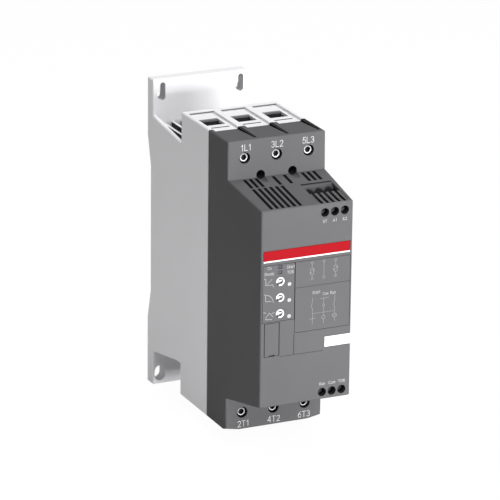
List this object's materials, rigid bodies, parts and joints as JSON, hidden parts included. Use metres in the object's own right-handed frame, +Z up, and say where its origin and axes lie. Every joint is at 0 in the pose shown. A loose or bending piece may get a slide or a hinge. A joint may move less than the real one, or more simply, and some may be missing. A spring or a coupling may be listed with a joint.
{
  "type": "soft starter",
  "caption": "Three-phase motor soft starter: stepped dark front housing on a pale rear housing with a finned heat sink, box-clamp terminals, setting dials and mounting flange.",
  "frame": {"origin": "middle of the base rectangle, at the level of the mounting foot's lower end", "axes": "+Z up, +Y towards the mounting plate, -Y towards the person who reads the front, +X to that person's right"},
  "size_m": [0.07, 0.18, 0.22],
  "materials": {
    "light_grey_plastic": "satin moulded",
    "dark_grey_plastic": "fine textured moulded",
    "panel_grey_plastic": "satin",
    "red_foil": "satin film",
    "white_plastic": "satin",
    "black_plastic": "moulded",
    "extruded_aluminium": "as extruded",
    "zinc_plated_steel": "zinc plated",
    "tinned_copper": "bright rolled copper",
    "circuit_board": "solder resist",
    "light_pipe": "clear moulded"
  },
  "bodies": {
    "housing": {"front_housing": "dark_grey_plastic", "rear_housing": "light_grey_plastic", "heat_sink": "extruded_aluminium", "settings_panel": "panel_grey_plastic", "diagram_plate": "panel_grey_plastic", "band_strip": "red_foil", "name_tag": "white_plastic", "light_pipe_1": "light_pipe", "light_pipe_2": "light_pipe", "control_board": "circuit_board", "power_board": "circuit_board", "bus_connector": "black_plastic", "supply_transformer": "black_plastic", "capacitor": "black_plastic", "link_cable": "panel_grey_plastic", "bypass_relay_1": "black_plastic", "bypass_relay_3": "black_plastic", "control_block_upper": "dark_grey_plastic", "control_block_lower": "dark_grey_plastic", "cover_screw_1": "zinc_plated_steel", "cover_screw_2": "zinc_plated_steel", "line_bar_1": "tinned_copper", "line_bar_3": "tinned_copper", "load_bar_1": "tinned_copper", "load_bar_3": "tinned_copper", "through_bar_2": "tinned_copper", "thyristor_module_1": "black_plastic", "thyristor_module_3": "black_plastic"},
    "bus_cover": {"bus_cover": "dark_grey_plastic"},
    "setting_dial_1": {"setting_dial_1": "white_plastic"},
    "setting_dial_2": {"setting_dial_2": "white_plastic"},
    "setting_dial_3": {"setting_dial_3": "white_plastic"},
    "line_screw_1": {"line_screw_1": "zinc_plated_steel"},
    "line_clamp_1": {"line_clamp_1": "zinc_plated_steel"},
    "line_screw_2": {"line_screw_2": "zinc_plated_steel"},
    "line_clamp_2": {"line_clamp_2": "zinc_plated_steel"},
    "line_screw_3": {"line_screw_3": "zinc_plated_steel"},
    "line_clamp_3": {"line_clamp_3": "zinc_plated_steel"},
    "load_screw_1": {"load_screw_1": "zinc_plated_steel"},
    "load_clamp_1": {"load_clamp_1": "zinc_plated_steel"},
    "load_screw_2": {"load_screw_2": "zinc_plated_steel"},
    "load_clamp_2": {"load_clamp_2": "zinc_plated_steel"},
    "load_screw_3": {"load_screw_3": "zinc_plated_steel"},
    "load_clamp_3": {"load_clamp_3": "zinc_plated_steel"},
    "control_screw_upper_1": {"control_screw_upper_1": "zinc_plated_steel"},
    "control_clamp_upper_1": {"control_clamp_upper_1": "zinc_plated_steel"},
    "control_screw_upper_2": {"control_screw_upper_2": "zinc_plated_steel"},
    "control_clamp_upper_2": {"control_clamp_upper_2": "zinc_plated_steel"},
    "control_screw_upper_3": {"control_screw_upper_3": "zinc_plated_steel"},
    "control_clamp_upper_3": {"control_clamp_upper_3": "zinc_plated_steel"},
    "control_screw_lower_1": {"control_screw_lower_1": "zinc_plated_steel"},
    "control_clamp_lower_1": {"control_clamp_lower_1": "zinc_plated_steel"},
    "control_screw_lower_2": {"control_screw_lower_2": "zinc_plated_steel"},
    "control_clamp_lower_2": {"control_clamp_lower_2": "zinc_plated_steel"},
    "control_screw_lower_3": {"control_screw_lower_3": "zinc_plated_steel"},
    "control_clamp_lower_3": {"control_clamp_lower_3": "zinc_plated_steel"}
  },
  "joints": [
    {"name": "bus_cover_pull", "type": "slide", "parent": "housing", "child": "bus_cover", "axis": [0, -1, 0], "range_m": [0, 0.009]},
    {"name": "setting_dial_1_turn", "type": "hinge", "parent": "housing", "child": "setting_dial_1", "pos_m": [-0.0188, -0.0893, 0.1282], "axis": [0, 1, 0], "range_deg": [-135, 135]},
    {"name": "setting_dial_2_turn", "type": "hinge", "parent": "housing", "child": "setting_dial_2", "pos_m": [-0.0188, -0.0893, 0.1172], "axis": [0, 1, 0], "range_deg": [-135, 135]},
    {"name": "setting_dial_3_turn", "type": "hinge", "parent": "housing", "child": "setting_dial_3", "pos_m": [-0.0188, -0.0893, 0.1062], "axis": [0, 1, 0], "range_deg": [-135, 135]},
    {"name": "line_screw_1_turn", "type": "hinge", "parent": "housing", "child": "line_screw_1", "pos_m": [-0.023, -0.0398, 0.1984], "axis": [0, 1, 0], "range_deg": [0, 3240]},
    {"name": "line_clamp_1_slide", "type": "slide", "parent": "housing", "child": "line_clamp_1", "axis": [0, -1, 0], "range_m": [0, 0.01125]},
    {"name": "line_screw_2_turn", "type": "hinge", "parent": "housing", "child": "line_screw_2", "pos_m": [0, -0.0398, 0.1984], "axis": [0, 1, 0], "range_deg": [0, 3240]},
    {"name": "line_clamp_2_slide", "type": "slide", "parent": "housing", "child": "line_clamp_2", "axis": [0, -1, 0], "range_m": [0, 0.01125]},
    {"name": "line_screw_3_turn", "type": "hinge", "parent": "housing", "child": "line_screw_3", "pos_m": [0.023, -0.0398, 0.1984], "axis": [0, 1, 0], "range_deg": [0, 3240]},
    {"name": "line_clamp_3_slide", "type": "slide", "parent": "housing", "child": "line_clamp_3", "axis": [0, -1, 0], "range_m": [0, 0.01125]},
    {"name": "load_screw_1_turn", "type": "hinge", "parent": "housing", "child": "load_screw_1", "pos_m": [-0.023, -0.0398, 0.0214], "axis": [0, 1, 0], "range_deg": [0, 3240]},
    {"name": "load_clamp_1_slide", "type": "slide", "parent": "housing", "child": "load_clamp_1", "axis": [0, -1, 0], "range_m": [0, 0.01125]},
    {"name": "load_screw_2_turn", "type": "hinge", "parent": "housing", "child": "load_screw_2", "pos_m": [0, -0.0398, 0.0214], "axis": [0, 1, 0], "range_deg": [0, 3240]},
    {"name": "load_clamp_2_slide", "type": "slide", "parent": "housing", "child": "load_clamp_2", "axis": [0, -1, 0], "range_m": [0, 0.01125]},
    {"name": "load_screw_3_turn", "type": "hinge", "parent": "housing", "child": "load_screw_3", "pos_m": [0.023, -0.0398, 0.0214], "axis": [0, 1, 0], "range_deg": [0, 3240]},
    {"name": "load_clamp_3_slide", "type": "slide", "parent": "housing", "child": "load_clamp_3", "axis": [0, -1, 0], "range_m": [0, 0.01125]},
    {"name": "control_screw_upper_1_turn", "type": "hinge", "parent": "housing", "child": "control_screw_upper_1", "pos_m": [0.0125, -0.0854, 0.171], "axis": [0, 1, 0], "range_deg": [0, 3240]},
    {"name": "control_clamp_upper_1_slide", "type": "slide", "parent": "housing", "child": "control_clamp_upper_1", "axis": [0, -1, 0], "range_m": [0, 0.0045]},
    {"name": "control_screw_upper_2_turn", "type": "hinge", "parent": "housing", "child": "control_screw_upper_2", "pos_m": [0.0196, -0.0854, 0.171], "axis": [0, 1, 0], "range_deg": [0, 3240]},
    {"name": "control_clamp_upper_2_slide", "type": "slide", "parent": "housing", "child": "control_clamp_upper_2", "axis": [0, -1, 0], "range_m": [0, 0.0045]},
    {"name": "control_screw_upper_3_turn", "type": "hinge", "parent": "housing", "child": "control_screw_upper_3", "pos_m": [0.0267, -0.0854, 0.171], "axis": [0, 1, 0], "range_deg": [0, 3240]},
    {"name": "control_clamp_upper_3_slide", "type": "slide", "parent": "housing", "child": "control_clamp_upper_3", "axis": [0, -1, 0], "range_m": [0, 0.0045]},
    {"name": "control_screw_lower_1_turn", "type": "hinge", "parent": "housing", "child": "control_screw_lower_1", "pos_m": [0.0125, -0.0854, 0.0472], "axis": [0, 1, 0], "range_deg": [0, 3240]},
    {"name": "control_clamp_lower_1_slide", "type": "slide", "parent": "housing", "child": "control_clamp_lower_1", "axis": [0, -1, 0], "range_m": [0, 0.0045]},
    {"name": "control_screw_lower_2_turn", "type": "hinge", "parent": "housing", "child": "control_screw_lower_2", "pos_m": [0.0196, -0.0854, 0.0472], "axis": [0, 1, 0], "range_deg": [0, 3240]},
    {"name": "control_clamp_lower_2_slide", "type": "slide", "parent": "housing", "child": "control_clamp_lower_2", "axis": [0, -1, 0], "range_m": [0, 0.0045]},
    {"name": "control_screw_lower_3_turn", "type": "hinge", "parent": "housing", "child": "control_screw_lower_3", "pos_m": [0.0267, -0.0854, 0.0472], "axis": [0, 1, 0], "range_deg": [0, 3240]},
    {"name": "control_clamp_lower_3_slide", "type": "slide", "parent": "housing", "child": "control_clamp_lower_3", "axis": [0, -1, 0], "range_m": [0, 0.0045]}
  ],
  "couplings": [
    {"joint": "line_screw_1_turn", "follows": "line_clamp_1_slide", "rad_per_m": 5026.5},
    {"joint": "line_screw_2_turn", "follows": "line_clamp_2_slide", "rad_per_m": 5026.5},
    {"joint": "line_screw_3_turn", "follows": "line_clamp_3_slide", "rad_per_m": 5026.5},
    {"joint": "load_screw_1_turn", "follows": "load_clamp_1_slide", "rad_per_m": 5026.5},
    {"joint": "load_screw_2_turn", "follows": "load_clamp_2_slide", "rad_per_m": 5026.5},
    {"joint": "load_screw_3_turn", "follows": "load_clamp_3_slide", "rad_per_m": 5026.5},
    {"joint": "control_screw_upper_1_turn", "follows": "control_clamp_upper_1_slide", "rad_per_m": 12566},
    {"joint": "control_screw_upper_2_turn", "follows": "control_clamp_upper_2_slide", "rad_per_m": 12566},
    {"joint": "control_screw_upper_3_turn", "follows": "control_clamp_upper_3_slide", "rad_per_m": 12566},
    {"joint": "control_screw_lower_1_turn", "follows": "control_clamp_lower_1_slide", "rad_per_m": 12566},
    {"joint": "control_screw_lower_2_turn", "follows": "control_clamp_lower_2_slide", "rad_per_m": 12566},
    {"joint": "control_screw_lower_3_turn", "follows": "control_clamp_lower_3_slide", "rad_per_m": 12566}
  ]
}
